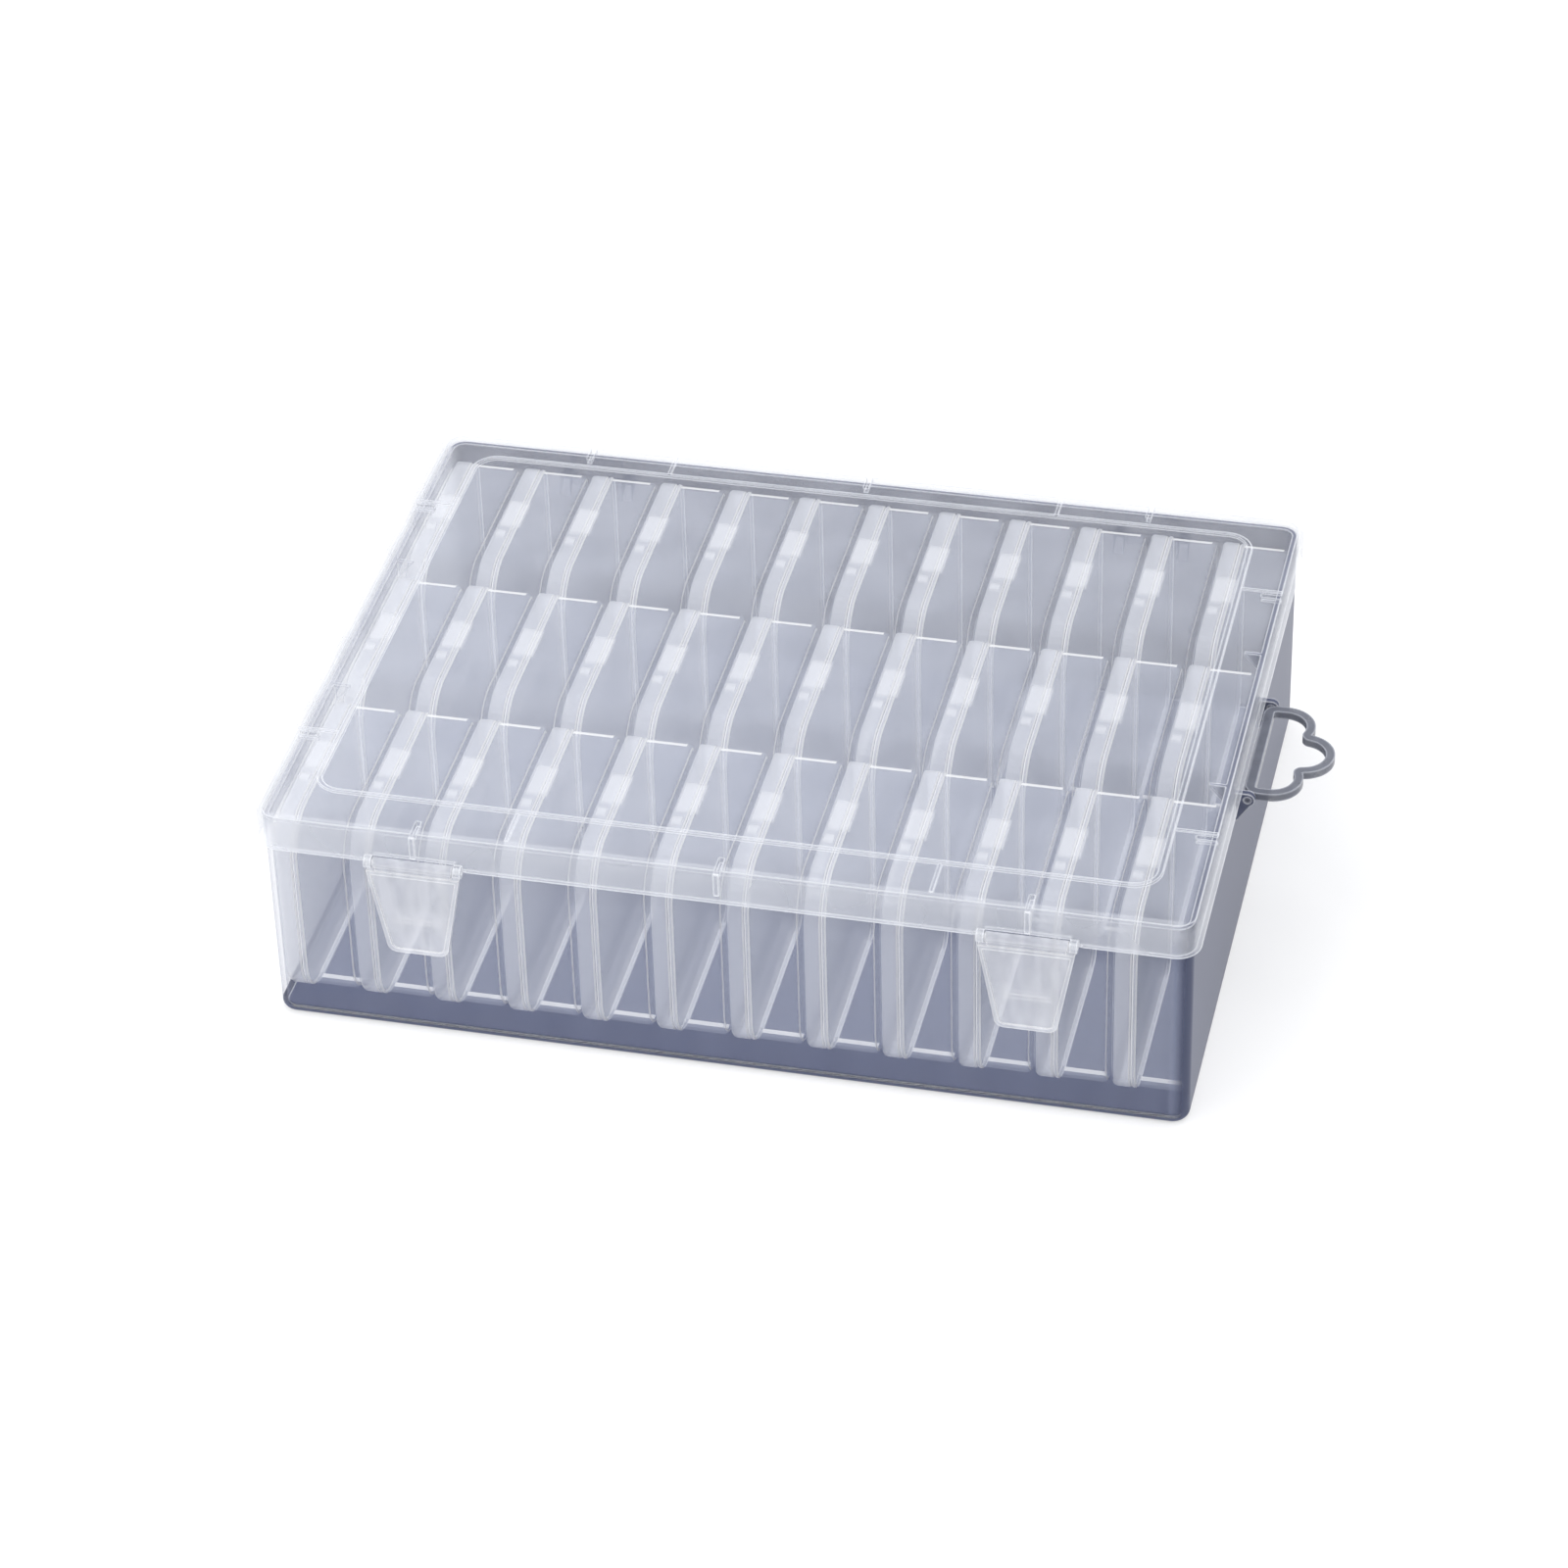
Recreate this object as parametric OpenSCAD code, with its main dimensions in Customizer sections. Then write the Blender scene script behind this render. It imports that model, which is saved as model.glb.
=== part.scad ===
// Embroidery thread box: a clear snap-shut case with three rows of twelve slim
// clamshell mini cases standing on edge, one thread colour to each.
// Millimetres. +X is right, +Y is back, +Z is up. The origin is the centre of the flat underside.

/* [Mini case] */
// Depth of a mini case, front to back
case_depth = 63.6; // [50:0.2:80]
// Height of a mini case above its hinge bead
case_height = 62.7; // [48:0.1:80]
// Thickness of the cover half, on the left of a standing case
cover_t = 5.2; // [3.6:0.1:9]
// Thickness of the tray half, on the right of a standing case
tray_t = 14.8; // [9:0.1:25]
// Wall of a mini case
case_wall = 0.9; // [0.6:0.05:1.2]
// Slit between cover and tray along the parting line
parting_gap = 0.2; // [0.1:0.05:0.4]
// Corner radius at the front of a mini case
case_front_r = 13; // [6:0.5:20]
// Corner radius at the back of a mini case
case_back_r = 4; // [3.2:0.1:12]
// Bevel round the tray's broad face
tray_bevel = 1.5; // [1:0.1:2]
// Bevel round the cover's broad face
cover_bevel = 1.2; // [0.9:0.1:1.8]
// How far the rim stands proud of the tray's walls
rim_rise = 0.5; // [0.3:0.05:0.8]
// Width of the tray's rim along the parting line
rim_w = 1.4; // [1:0.1:2]
// Depth of the living hinge bead under a mini case
bead_h = 0.5; // [0.3:0.05:0.9]
// Width of the living hinge bead
bead_w = 3; // [2:0.1:4.5]
// Distance of the bead's ends from where the corners start
bead_end = 0.5; // [0.2:0.1:3]
// Length of the snap tongue on top of a mini case
snap_l = 13; // [8:0.5:18]
// Thickness of the snap tongue
snap_t = 0.8; // [0.6:0.05:1.2]
// Distance of the snap tongue's middle behind the middle of the case
snap_offset = 3; // [0:0.5:6]
// Running gap round the snap tongue's hook
snap_gap = 0.1; // [0.05:0.05:0.2]
// Length of the finger block in front of the snap tongue
block_l = 3; // [2:0.5:5]

/* [Rows] */
// Gap between neighbours in a row
case_gap = 1.6; // [1:0.1:4]
// Gap between one row and the next
row_gap = 1.7; // [1.5:0.1:6]
// Gap between the end cases and the side walls
end_gap = 0.5; // [0.3:0.1:4]
// Gap between the outer rows and the front and back walls
wall_gap = 1.4; // [0.5:0.1:8]

/* [Tub] */
// Wall of the tub
tub_wall = 1.5; // [1.2:0.1:2.4]
// Floor of the tub
floor_t = 1.8; // [1.2:0.1:3]
// Height of the tub's rim above the mini cases
head_room = 3.9; // [3:0.1:15]
// Upright corner radius of the tub
tub_corner_r = 5; // [3.5:0.1:9]
// Radius round the tub's bottom edge
tub_edge_r = 2.4; // [1:0.1:3]
// Leg of the triangular gussets between the rows, along the rim
gusset_w = 4.8; // [3:0.1:8]
// Leg of the triangular gussets down the wall
gusset_h = 6.4; // [4:0.1:12]
// Thickness of the gussets
gusset_t = 1.2; // [0.8:0.1:1.4]

/* [Lid] */
// Plate of the lid
lid_t = 1.6; // [1.2:0.1:2.6]
// Skirt of the lid
skirt_t = 1.5; // [1.2:0.1:2.4]
// Gap between the skirt and the tub
skirt_gap = 0.5; // [0.45:0.05:1]
// How far the skirt reaches down from the top of the lid
skirt_h = 11.85; // [8:0.05:16]
// Height of the seat ribs between the tub's rim and the lid's plate
seat_h = 1.75; // [1:0.05:4]
// Reach of the seat ribs in from the skirt
seat_l = 6; // [4:0.5:10]
// Thickness of the seat ribs and of the short ribs on the skirt
rib_t = 1.5; // [1:0.1:2.4]
// Radius round the lid's top edge
lid_edge_r = 1.4; // [0.6:0.1:1.5]
// Inset of the raised border from the lid's sides
border_side = 13.5; // [8:0.5:30]
// Inset of the raised border from the lid's front and back
border_end = 14; // [8:0.5:30]
// Corner radius of the raised border
border_r = 8; // [4:0.5:20]
// Width of the raised border
border_w = 1.4; // [0.8:0.1:3]
// Height of the raised border
border_h = 0.6; // [0.3:0.1:1.5]
// Distance of the short cross ribs from the lid's middle
cross_pitch = 60; // [30:1:80]
// Width of the short cross ribs
cross_w = 1; // [0.6:0.1:2]

/* [Lid hinge] */
// Distance of each hinge from the middle of the box
hinge_x = 87; // [50:1:100]
// Width of the lid's knuckle
knuckle_w = 16; // [10:0.5:30]
// Radius of the lid's knuckle
knuckle_r = 2.2; // [1.8:0.05:3]
// Radius of the hinge pins
hinge_pin_r = 1.2; // [0.9:0.05:1.5]
// Running clearance round the hinge, latch and handle pins
pin_gap = 0.05; // [0.02:0.01:0.08]
// Width of each hinge ear on the tub
ear_w = 3; // [2:0.1:5]
// Side gap between a knuckle, barrel or handle and its ears
side_gap = 0.35; // [0.2:0.05:0.6]
// Distance of the hinge axis behind the tub's wall
hinge_out = 4.2; // [3.6:0.1:6]
// Distance of the hinge axis below the lid's skirt
hinge_drop = 2.9; // [2.8:0.1:6]
// How far the lid opens before its heel meets the wall, in degrees
lid_open = 110; // [95:1:120]

/* [Latches] */
// Distance of each latch from the middle of the box
latch_x = 87; // [50:1:100]
// Width of a latch at its shoulders
latch_top_w = 27; // [20:0.5:34]
// Width of a latch at its lower edge
latch_foot_w = 17; // [10:0.5:26]
// Length of a latch below its pivot
latch_l = 30; // [24:0.5:38]
// Plate of a latch
latch_t = 1.4; // [1:0.1:2]
// Corner radius at the foot of a latch
latch_r = 3; // [1.5:0.1:5]
// Width of the raised edge round a latch
latch_rim_w = 1.2; // [0.8:0.1:2]
// Height of the raised edge round a latch
latch_rim_h = 0.5; // [0.3:0.1:1]
// Radius of the latch barrel
barrel_r = 1.5; // [1.3:0.05:1.9]
// Length of the latch barrel
barrel_l = 23; // [14:0.5:30]
// Radius of the latch pins
latch_pin_r = 0.85; // [0.7:0.05:1]
// Length of the latch pins
latch_pin_l = 2.2; // [1.6:0.1:3]
// Radius of the ears that hold the latch pins
latch_ear_r = 1.85; // [1.6:0.05:2.2]
// Distance of the latch pivot in front of the tub's wall
latch_out = 2.6; // [2.4:0.1:4]
// Length of the catch on the tub
catch_l = 13; // [8:0.5:20]
// Height of the catch
catch_h = 1.6; // [1:0.1:3]
// How far the catch stands out from the wall
catch_out = 1.3; // [0.8:0.1:1.5]
// Distance of the catch below the latch pivot
catch_drop = 19.5; // [12:0.5:26]
// Gap between the latch's hook and the face of the catch
hook_gap = 0.12; // [0.08:0.02:0.4]

/* [Hang handle] */
// Half length of the trefoil handle
handle_half = 21.5; // [16:0.5:30]
// Radius of the two side lobes
side_lobe_r = 9; // [6:0.25:12]
// Radius of the end lobe
end_lobe_r = 9.3; // [6:0.25:12]
// Distance of the side lobes' centres from the pivot
side_lobe_x = 5.2; // [4:0.2:10]
// Distance of the end lobe's centre from the pivot
end_lobe_x = 12.2; // [9:0.2:20]
// Width of the handle's band
band_w = 2.6; // [1.8:0.1:4]
// Thickness of the handle
handle_t = 2.4; // [1.8:0.1:2.6]
// Width of the strip along the handle's pivot
spine_w = 3; // [2.4:0.1:3.6]
// Corner radius at the ends of the strip
spine_r = 4; // [2:0.25:6]
// Radius of the handle's pins
handle_pin_r = 1; // [0.7:0.05:1.2]
// Thickness of the ears that hold the handle
handle_ear_t = 2; // [1.4:0.1:3]
// Radius of those ears round the pin
handle_ear_r = 2.1; // [1.9:0.05:2.4]
// Distance of the handle's pivot out from the tub's wall
handle_out = 3.5; // [3.5:0.1:6]
// Distance of the handle's pivot below the lid's skirt
handle_drop = 2.5; // [2.4:0.1:8]
// Height of those ears
handle_ear_h = 9.6; // [6:0.2:14]

/* [Hidden] */
$fn = 48;
rows = 3;
columns = 12;
clear_pp = [0.82, 0.84, 0.90, 0.35];
case_pp = [0.88, 0.89, 0.93, 0.40];
frosted_pp = [0.90, 0.91, 0.93, 0.75];
grey_pp = [0.56, 0.57, 0.63, 0.85];

// Lengths that neighbouring solids share are rounded to 1/1024 mm. Sums of such numbers are
// exact, so faces that should meet do meet.
function snap(v) = round(v * 1024) / 1024;

// Mini case
case_t = cover_t + parting_gap + tray_t;
case_total_h = bead_h + case_height;
case_pitch = case_t + case_gap;
row_pitch = case_depth + row_gap;
parting_x = cover_t + parting_gap;
// How deep what stands on a wall is sunk into it
into = case_wall / 3;
// The inner bevel is smaller, so that the wall keeps its thickness across the bevel
bevel_in = case_wall * (2 - sqrt(2));

// Tub: its inside is made to the rows of cases
inner_w = columns * case_t + (columns - 1) * case_gap + 2 * end_gap;
inner_d = rows * case_depth + (rows - 1) * row_gap + 2 * wall_gap;
tub_w = snap(inner_w + 2 * tub_wall);
tub_d = snap(inner_d + 2 * tub_wall);
tub_h = snap(floor_t + case_total_h + head_room);
first_case_x = -inner_w / 2 + end_gap;
first_row_y = -inner_d / 2 + wall_gap;

// Lid: its inside is made to the tub
lid_inner_w = tub_w + 2 * skirt_gap;
lid_inner_d = tub_d + 2 * skirt_gap;
lid_w = snap(lid_inner_w + 2 * skirt_t);
lid_d = snap(lid_inner_d + 2 * skirt_t);
lid_corner_r = tub_corner_r + skirt_gap + skirt_t;
plate_z = tub_h + seat_h;
lid_top = plate_z + lid_t;
skirt_z = lid_top - skirt_h;

// Lid hinge axis, behind the tub
hinge_y = tub_d / 2 + hinge_out;
hinge_z = skirt_z - hinge_drop;
hinge_bore_r = hinge_pin_r + pin_gap;
hinge_ear_r = knuckle_r;
heel_r = hinge_out - 0.1;

// Latch pivot, in front of the tub, and the hook on the latch
latch_y = -tub_d / 2 - latch_out;
latch_z = skirt_z + 0.5;
latch_bore_r = latch_pin_r + pin_gap;
notch_w = barrel_l + 2 * side_gap;
notch_h = latch_z - skirt_z + barrel_r + 0.3;
neck_w = barrel_l - 1;
shoulder_drop = latch_ear_r + 0.4;
plate_in_y = 0.4;
catch_z = latch_z - catch_drop;
hook_h = 1.2;
hook_reach = latch_out - plate_in_y - catch_out - hook_gap;

// Handle pivot, on the right-hand wall
handle_x = tub_w / 2 + handle_out;
handle_z = skirt_z - handle_drop;
handle_bore_r = handle_pin_r + pin_gap;
lobe_y = handle_half - side_lobe_r;
// The outer circles of a side lobe and the end lobe meet in a cusp
lobe_apart = norm([end_lobe_x - side_lobe_x, lobe_y]);
cusp_along = (side_lobe_r ^ 2 - end_lobe_r ^ 2 + lobe_apart ^ 2) / (2 * lobe_apart);
cusp_off = sqrt(side_lobe_r ^ 2 - cusp_along ^ 2);
lobe_cusp = [
    side_lobe_x + (cusp_along * (end_lobe_x - side_lobe_x) + cusp_off * lobe_y) / lobe_apart,
    lobe_y + (cusp_off * (end_lobe_x - side_lobe_x) - cusp_along * lobe_y) / lobe_apart
];
spine_in = spine_w / 2;

// A plan outline with four equal round corners
module rounded(w, d, r) {
    square([w - 2 * r, d], center = true);
    square([w, d - 2 * r], center = true);
    for (x = [-1, 1], y = [-1, 1])
        translate([x * (w / 2 - r), y * (d / 2 - r)])
            circle(r);
}

// Section of a block's side: reach out from the origin, h high, its far lower corner rounded
module soft_section(reach, h, e) {
    square([reach - e, h]);
    translate([0, e])
        square([reach, h - e]);
    translate([reach - e, e])
        circle(e);
}

// A block with upright corners of radius corner_r and its lower edge rounded to radius edge_r
module soft_block(w, d, h, corner_r, edge_r) {
    r = snap(corner_r);
    e = snap(edge_r);
    span_x = w - 2 * r;
    span_y = d - 2 * r;
    translate([-span_x / 2, -span_y / 2, 0])
        cube([span_x, span_y, h]);
    for (turn = [0, 180])
        rotate(turn) {
            translate([span_x / 2, span_y / 2, 0])
                rotate([90, 0, 0])
                    linear_extrude(span_y)
                        soft_section(r, h, e);
            translate([-span_x / 2, span_y / 2, 0])
                rotate([90, 0, 90])
                    linear_extrude(span_x)
                        soft_section(r, h, e);
            translate([span_x / 2, span_y / 2, 0])
                rotate_extrude(angle = 90)
                    soft_section(r, h, e);
            translate([-span_x / 2, span_y / 2, 0])
                rotate(90)
                    rotate_extrude(angle = 90)
                        soft_section(r, h, e);
        }
}

// Stands a front-to-back outline up and gives it thickness to the right
module along_x(t) {
    rotate([90, 0, 90])
        linear_extrude(t)
            children();
}

// The side outline of a mini case, drawn in by inset: large radii in front, small behind
module case_outline(inset) {
    back = case_depth - case_back_r;
    top = case_height;
    translate([case_front_r, inset])
        square([back - case_front_r, top - 2 * inset]);
    translate([inset, case_front_r])
        square([case_front_r - inset, top - 2 * case_front_r]);
    translate([back, case_back_r])
        square([case_back_r - inset, top - 2 * case_back_r]);
    for (z = [case_front_r, top - case_front_r])
        translate([case_front_r, z])
            circle(case_front_r - inset);
    for (z = [case_back_r, top - case_back_r])
        translate([back, z])
            circle(case_back_r - inset);
}

// Section of a slab's edge: reach out from the origin, t high, its far top corner cut off
module edge_section(reach, t, cut) {
    polygon([[0, 0], [reach, 0], [reach, t - cut], [reach - cut, t], [0, t]]);
}

// A straight length of slab edge that starts at the origin and runs along +Y
module straight_edge(length, reach, t, cut) {
    translate([0, length, 0])
        rotate([90, 0, 0])
            linear_extrude(length)
                edge_section(reach, t, cut);
}

// A slab of the mini case outline whose right-hand face has bevelled edges
module bevel_slab(inset, thickness, bevel) {
    t = snap(thickness);
    cut = snap(bevel);
    front_r = snap(case_front_r);
    back_r = snap(case_back_r);
    back = snap(case_depth) - back_r;
    top = snap(case_height);
    front_reach = front_r - snap(inset);
    back_reach = back_r - snap(inset);
    rotate([90, 0, 90]) {
        translate([front_r, back_r, 0])
            cube([back - front_r, top - 2 * back_r, t]);
        translate([back, back_r, 0])
            straight_edge(top - 2 * back_r, back_reach, t, cut);
        translate([front_r, top - front_r, 0])
            rotate(180)
                straight_edge(top - 2 * front_r, front_reach, t, cut);
        translate([front_r, back_r, 0])
            rotate(-90)
                straight_edge(back - front_r, back_reach, t, cut);
        translate([back, top - back_r, 0])
            rotate(90)
                straight_edge(back - front_r, back_reach, t, cut);
        translate([back, top - back_r, 0])
            rotate_extrude(angle = 90)
                edge_section(back_reach, t, cut);
        translate([front_r, top - front_r, 0])
            rotate(90)
                rotate_extrude(angle = 90)
                    edge_section(front_reach, t, cut);
        translate([front_r, front_r, 0])
            rotate(180)
                rotate_extrude(angle = 90)
                    edge_section(front_reach, t, cut);
        translate([back, back_r, 0])
            rotate(270)
                rotate_extrude(angle = 90)
                    edge_section(back_reach, t, cut);
    }
}

// Cover half: a shallow shell open to the right
module case_cover() {
    translate([cover_t, 0, bead_h])
        mirror([1, 0, 0])
            difference() {
                bevel_slab(0, cover_t, cover_bevel);
                translate([-1, 0, 0])
                    bevel_slab(case_wall, cover_t - case_wall + 1, cover_bevel - bevel_in);
            }
}

// Tray half: a deeper shell open to the left, with a proud rim along the parting line
module case_tray() {
    translate([parting_x, 0, bead_h])
        difference() {
            union() {
                bevel_slab(rim_rise, tray_t, tray_bevel);
                along_x(rim_w)
                    case_outline(0);
            }
            translate([-1, 0, 0])
                bevel_slab(rim_rise + case_wall, tray_t - case_wall + 1, tray_bevel - bevel_in);
        }
}

// Living hinge: one flat-bottomed bead under both halves, on which the case stands
module hinge_bead() {
    chamfer = bead_w / 6;
    translate([parting_x - parting_gap / 2, case_depth - case_back_r - bead_end, 0])
        rotate([90, 0, 0])
            linear_extrude(case_depth - case_back_r - case_front_r - 2 * bead_end)
                polygon([
                    [-bead_w / 2 + chamfer, 0],
                    [bead_w / 2 - chamfer, 0],
                    [bead_w / 2, bead_h - into],
                    [bead_w / 2, bead_h + into],
                    [-bead_w / 2, bead_h + into],
                    [-bead_w / 2, bead_h - into]
                ]);
}

// Snap tongue of the cover, hooked over the tray's rim, with the finger block in front of it
module snap_tongue() {
    hook_x = parting_x + rim_w + snap_gap;
    tongue_y = case_depth / 2 + snap_offset - snap_l / 2;
    translate([cover_bevel, tongue_y, case_total_h - into])
        cube([cover_t - into - cover_bevel, snap_l, snap_t + into]);
    translate([cover_t - case_wall, tongue_y, case_total_h])
        cube([hook_x + case_wall - (cover_t - case_wall), snap_l, snap_t]);
    translate([hook_x, tongue_y, case_total_h - rim_rise + snap_gap])
        cube([case_wall, snap_l, rim_rise - snap_gap + snap_t]);
    translate([cover_bevel, tongue_y - 2 * block_l, case_total_h - into])
        cube([cover_t - case_wall - cover_bevel, block_l, snap_t + into]);
}

// The rim is cut down under the tongue, so that only the hook holds it
module snap_relief() {
    translate([parting_x - parting_gap, case_depth / 2 + snap_offset - snap_l / 2 - snap_gap,
               case_total_h - snap_gap])
        cube([rim_w + parting_gap + snap_gap, snap_l + 2 * snap_gap, snap_gap]);
}

module mini_case() {
    case_cover();
    difference() {
        case_tray();
        snap_relief();
    }
    hinge_bead();
    snap_tongue();
}

// One mini case in its place: row 0 is the front row, column 1 is at the left
module case_at(row, column) {
    color(case_pp)
        translate([first_case_x + (column - 1) * case_pitch, first_row_y + row * row_pitch, floor_t])
            mini_case();
}

// Triangular gusset against a side wall, in the gap between two rows
module row_gusset(side) {
    translate([side * inner_w / 2, gusset_t / 2, 0])
        rotate([90, 0, 0])
            linear_extrude(gusset_t)
                polygon([
                    [side * tub_wall / 2, tub_h],
                    [-side * gusset_w, tub_h],
                    [-side * gusset_w, tub_h - 0.8],
                    [0, tub_h - gusset_h],
                    [side * tub_wall / 2, tub_h - gusset_h]
                ]);
}

// One of a hinge's two ears on the back wall of the tub
module hinge_ear() {
    translate([-ear_w / 2, 0, 0])
        along_x(ear_w)
            union() {
                translate([hinge_y, hinge_z])
                    circle(hinge_ear_r);
                polygon([
                    [tub_d / 2 - tub_wall / 2, hinge_z + hinge_ear_r],
                    [hinge_y, hinge_z + hinge_ear_r],
                    [hinge_y + hinge_ear_r, hinge_z],
                    [tub_d / 2, hinge_z - 2.2 * hinge_ear_r],
                    [tub_d / 2 - tub_wall / 2, hinge_z - 2.2 * hinge_ear_r]
                ]);
            }
}

// One of the two ears that hold the hang handle
module handle_ear() {
    translate([0, handle_ear_t / 2, 0])
        rotate([90, 0, 0])
            linear_extrude(handle_ear_t)
                union() {
                    translate([handle_x, handle_z])
                        circle(handle_ear_r);
                    polygon([
                        [tub_w / 2 - tub_wall / 2, handle_z + handle_ear_r],
                        [handle_x, handle_z + handle_ear_r],
                        [handle_x + handle_ear_r, handle_z],
                        [tub_w / 2 + 0.8, handle_z + handle_ear_r - handle_ear_h],
                        [tub_w / 2 - tub_wall / 2, handle_z + handle_ear_r - handle_ear_h]
                    ]);
                }
}

// Catch for a latch: a ledge with a sloping top, so that the closing latch rides over it
module latch_catch() {
    translate([-catch_l / 2, 0, 0])
        along_x(catch_l)
            polygon([
                [-tub_d / 2 + tub_wall / 2, catch_z],
                [-tub_d / 2 - catch_out, catch_z],
                [-tub_d / 2 - catch_out, catch_z + catch_h / 2],
                [-tub_d / 2, catch_z + catch_h],
                [-tub_d / 2 + tub_wall / 2, catch_z + catch_h]
            ]);
}

module base_tub() {
    hinge_ear_x = (knuckle_w + ear_w) / 2 + side_gap;
    handle_ear_y = handle_half + side_gap + handle_ear_t / 2;
    color(clear_pp)
        difference() {
            union() {
                difference() {
                    soft_block(tub_w, tub_d, tub_h, tub_corner_r, tub_edge_r);
                    translate([0, 0, floor_t])
                        linear_extrude(tub_h)
                            rounded(inner_w, inner_d, tub_corner_r - tub_wall);
                }
                for (side = [-1, 1], row = [1:rows - 1])
                    translate([0, first_row_y + row * row_pitch - row_gap / 2, 0])
                        row_gusset(side);
                for (x = [-hinge_x, hinge_x], e = [-1, 1])
                    translate([x + e * hinge_ear_x, 0, 0])
                        hinge_ear();
                for (y = [-1, 1])
                    translate([0, y * handle_ear_y, 0])
                        handle_ear();
                for (x = [-latch_x, latch_x])
                    translate([x, 0, 0])
                        latch_catch();
            }
            for (x = [-hinge_x, hinge_x])
                translate([x, hinge_y, hinge_z])
                    rotate([0, 90, 0])
                        cylinder(h = knuckle_w + 3 * ear_w, r = hinge_bore_r, center = true);
            translate([handle_x, 0, handle_z])
                rotate([90, 0, 0])
                    cylinder(h = 2 * handle_ear_y + 2 * handle_ear_t, r = handle_bore_r, center = true);
        }
}

// Raised border and short cross ribs on top of the lid
module lid_border() {
    w = lid_w - 2 * border_side;
    d = lid_d - 2 * border_end;
    translate([0, 0, lid_top])
        linear_extrude(border_h)
            difference() {
                rounded(w, d, border_r);
                rounded(w - 2 * border_w, d - 2 * border_w, border_r - border_w);
            }
    for (x = [-cross_pitch, cross_pitch], y = [-1, 1])
        translate([x, y * (lid_d / 2 - border_end / 2 - lid_edge_r / 2), lid_top + border_h / 4])
            cube([cross_w, border_end - lid_edge_r, border_h / 2], center = true);
    for (y = [-cross_pitch, cross_pitch], x = [-1, 1])
        translate([x * (lid_w / 2 - border_side / 2 - lid_edge_r / 2), y, lid_top + border_h / 4])
            cube([border_side - lid_edge_r, cross_w, border_h / 2], center = true);
}

// Seat rib under the plate: its lower face rests on the tub's rim
module seat_rib() {
    translate([0, 0, tub_h])
        linear_extrude(seat_h + lid_t / 2)
            translate([-rib_t / 2, 0])
                square([rib_t, seat_l + skirt_t / 2]);
}

// Knuckle of a lid hinge, with its pins, its arm on the skirt and the heel that stops the lid
module lid_knuckle() {
    heel_turn = lid_open;
    translate([-knuckle_w / 2, 0, 0])
        along_x(knuckle_w)
            union() {
                translate([hinge_y, hinge_z])
                    circle(knuckle_r);
                polygon([
                    [lid_d / 2 - skirt_t / 2, skirt_z],
                    [hinge_y - knuckle_r, hinge_z],
                    [hinge_y + knuckle_r, hinge_z],
                    [lid_d / 2 + 1, skirt_z + 2.4 * knuckle_r],
                    [lid_d / 2 - skirt_t / 2, skirt_z + 2.4 * knuckle_r]
                ]);
                translate([hinge_y, hinge_z])
                    rotate(heel_turn - 180)
                        translate([0, -0.7])
                            square([heel_r, 1.4]);
            }
    translate([0, hinge_y, hinge_z])
        rotate([0, 90, 0])
            cylinder(h = knuckle_w + 2 * side_gap + 2 * ear_w - 0.4, r = hinge_pin_r, center = true);
}

// The two ears that hold one latch, on either side of its notch
module latch_ears() {
    for (e = [-1, 1])
        translate([e * (notch_w / 2 + latch_pin_l / 2), latch_y, latch_z]) {
            rotate([0, 90, 0])
                cylinder(h = latch_pin_l, r = latch_ear_r, center = true);
            translate([-latch_pin_l / 2, 0, 0])
                cube([latch_pin_l, latch_out - skirt_gap - skirt_t / 2, latch_ear_r]);
        }
}

module lid() {
    color(clear_pp)
        difference() {
            union() {
                difference() {
                    translate([0, 0, lid_top])
                        mirror([0, 0, 1])
                            soft_block(lid_w, lid_d, skirt_h, lid_corner_r, lid_edge_r);
                    translate([0, 0, skirt_z - 1])
                        linear_extrude(skirt_h - lid_t + 1)
                            rounded(lid_inner_w, lid_inner_d, lid_corner_r - skirt_t);
                }
                lid_border();
                for (x = [-latch_x, 0, latch_x]) {
                    translate([x, -lid_inner_d / 2 - skirt_t / 2, 0])
                        seat_rib();
                    translate([x, lid_inner_d / 2 + skirt_t / 2, 0])
                        mirror([0, 1, 0])
                            seat_rib();
                    translate([x - rib_t / 2, -lid_d / 2 - 0.5, skirt_z + notch_h + 0.6])
                        cube([rib_t, 1, skirt_h - notch_h - lid_edge_r - 0.8]);
                }
                for (side = [-1, 1], y = [-cross_pitch, cross_pitch])
                    translate([side * (lid_inner_w / 2 + skirt_t / 2), y, 0])
                        rotate(side * 90)
                            seat_rib();
                for (x = [-hinge_x, hinge_x])
                    translate([x, 0, 0])
                        lid_knuckle();
                for (x = [-latch_x, latch_x])
                    translate([x, 0, 0])
                        latch_ears();
            }
            for (x = [-latch_x, latch_x]) {
                translate([x - notch_w / 2, -lid_d / 2 - 1, skirt_z - 1])
                    cube([notch_w, skirt_t + 1.5, notch_h + 1]);
                translate([x, latch_y, latch_z])
                    rotate([0, 90, 0])
                        cylinder(h = notch_w + 2 * latch_pin_l + 2, r = latch_bore_r, center = true);
            }
        }
}

// Front outline of a latch flap below its pivot, drawn in by inset
module latch_outline(inset) {
    top = -shoulder_drop - inset;
    foot = -latch_l + inset;
    half_top = latch_top_w / 2 - inset;
    half_foot = latch_foot_w / 2 - inset;
    r = latch_r - inset;
    slope = (half_top - half_foot) / (top - foot);
    polygon([
        [-half_top, top],
        [-half_foot - slope * r, foot + r],
        [-half_foot - slope * r + r, foot],
        [half_foot + slope * r - r, foot],
        [half_foot + slope * r, foot + r],
        [half_top, top]
    ]);
    for (x = [-1, 1])
        translate([x * (half_foot + slope * r - r), foot + r])
            circle(r);
}

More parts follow.
